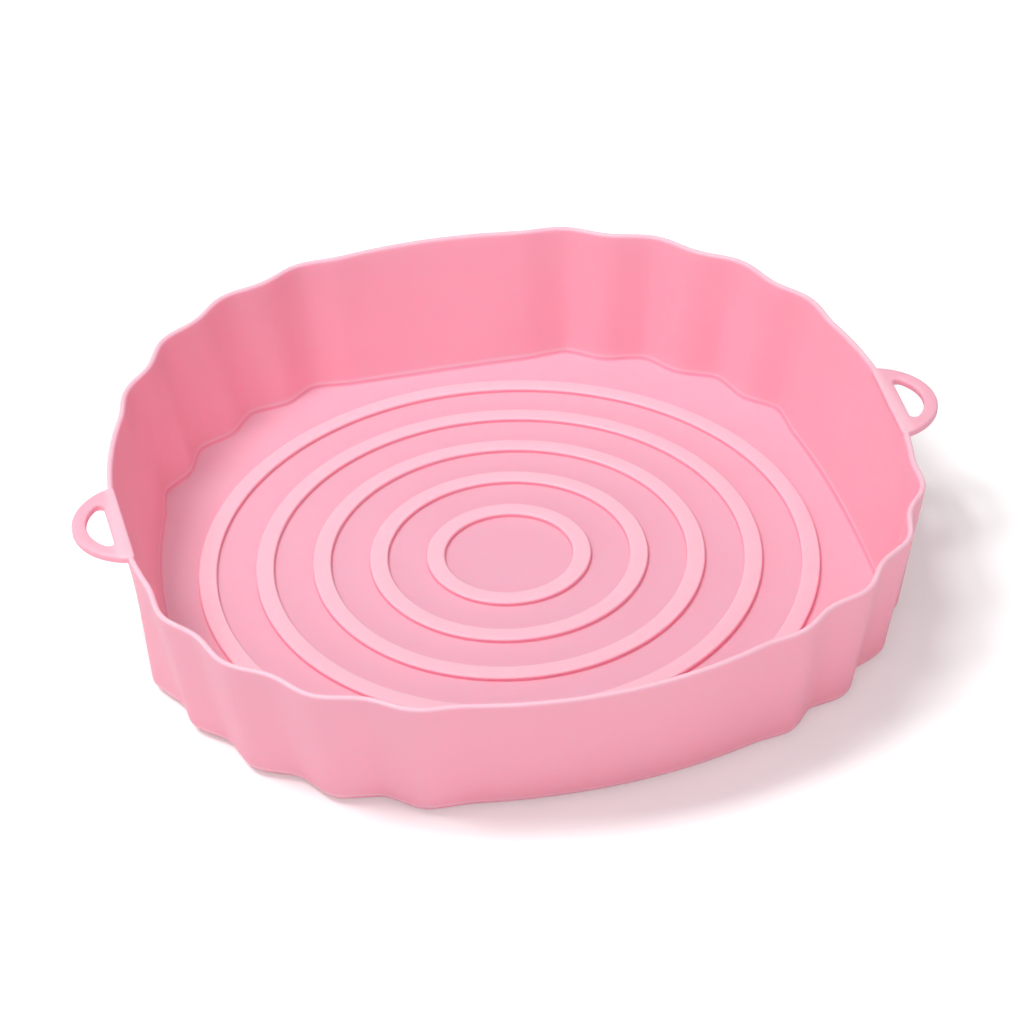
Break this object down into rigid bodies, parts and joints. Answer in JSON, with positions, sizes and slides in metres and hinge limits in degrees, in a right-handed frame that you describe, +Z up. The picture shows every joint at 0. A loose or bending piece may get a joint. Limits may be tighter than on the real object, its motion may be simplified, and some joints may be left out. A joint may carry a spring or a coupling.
{
  "type": "air fryer liner",
  "caption": "Shallow one-piece silicone tray with a ringed floor, four plain walls, fluted corners and a flat loop handle on each of two opposite walls.",
  "frame": {"origin": "middle of the flat underside, under the common centre of the floor rings", "axes": "+Z up out of the open tray, +X through the two handle walls, -Y towards the side nearer the handles"},
  "size_m": [0.2242, 0.2077, 0.0392],
  "materials": {
    "silicone": "satin moulded silicone"
  },
  "bodies": {
    "root": {"liner": "silicone"}
  },
  "joints": []
}
